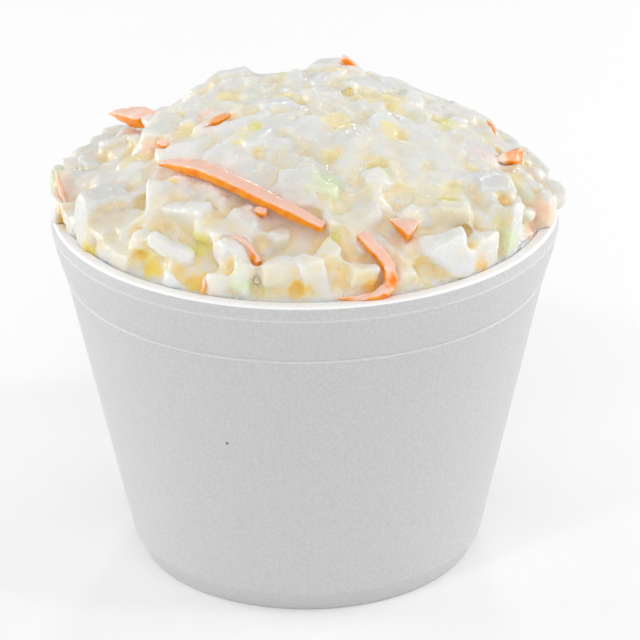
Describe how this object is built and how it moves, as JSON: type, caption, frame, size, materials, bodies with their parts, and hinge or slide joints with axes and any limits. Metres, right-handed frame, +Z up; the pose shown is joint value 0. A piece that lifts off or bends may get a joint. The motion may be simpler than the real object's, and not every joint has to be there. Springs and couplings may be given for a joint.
{
  "type": "coleslaw in a foam cup",
  "caption": "Squat white foam cup heaped above its lip with creamy chopped cabbage and carrot coleslaw, standing on a flat foot ring.",
  "frame": {"origin": "on the cup's axis, on the surface that its foot ring stands on", "axes": "+Z up along the cup's axis; the side seen from the front faces -Y, with +X to its right"},
  "size_m": [0.106, 0.106, 0.1028],
  "materials": {
    "foam": "matte",
    "dressed_cabbage": "satin",
    "carrot": "satin"
  },
  "bodies": {
    "root": {"cup": "foam", "coleslaw": "dressed_cabbage"}
  },
  "joints": []
}
